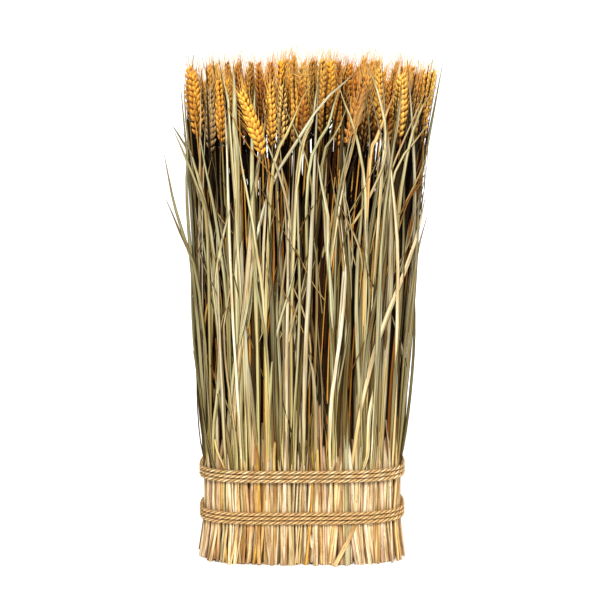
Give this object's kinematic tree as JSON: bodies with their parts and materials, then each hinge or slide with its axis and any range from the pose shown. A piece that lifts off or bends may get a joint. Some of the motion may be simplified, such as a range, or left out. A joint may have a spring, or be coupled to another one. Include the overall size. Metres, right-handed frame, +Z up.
{
  "type": "bundle of dried wheat",
  "caption": "Upright block-shaped bundle of dried wheat with long dried leaves, tied near its foot with two rope ties and standing on its cut straw ends.",
  "frame": {"origin": "on the floor, under the middle of the bundle's foot", "axes": "+Z up along the stems towards the ears, the front faces -Y, +X to the right seen from the front"},
  "size_m": [0.316, 0.143, 0.615],
  "materials": {
    "wheat": "dry golden straw and ears, matt with a faint sheen on the stems",
    "leaf": "dry sage to khaki leaves, matt and finely ribbed along their length",
    "rope": "thin twisted plant-fibre cord, matt and slightly hairy"
  },
  "bodies": {
    "root": {"leaves_front_1": "leaf", "leaves_front_2": "leaf", "leaves_front_3": "leaf", "leaves_front_4": "leaf", "leaves_front_5": "leaf", "leaves_back_1": "leaf", "leaves_back_2": "leaf", "leaves_back_3": "leaf", "leaves_back_4": "leaf", "leaves_back_5": "leaf", "leaves_left": "leaf", "leaves_right": "leaf", "wheat_front_1": "wheat", "wheat_front_2": "wheat", "wheat_front_3": "wheat", "wheat_front_4": "wheat", "wheat_front_5": "wheat", "wheat_front_6": "wheat", "wheat_front_7": "wheat", "wheat_front_8": "wheat", "wheat_front_9": "wheat", "wheat_middle_1": "wheat", "wheat_middle_2": "wheat", "wheat_middle_3": "wheat", "wheat_middle_4": "wheat", "wheat_middle_5": "wheat", "wheat_middle_6": "wheat", "wheat_middle_7": "wheat", "wheat_middle_8": "wheat", "wheat_middle_9": "wheat", "wheat_back_1": "wheat", "wheat_back_2": "wheat", "wheat_back_3": "wheat", "wheat_back_4": "wheat", "wheat_back_5": "wheat", "wheat_back_6": "wheat", "wheat_back_7": "wheat", "wheat_back_8": "wheat", "wheat_back_9": "wheat", "rope_upper": "rope", "rope_lower": "rope"}
  },
  "joints": []
}
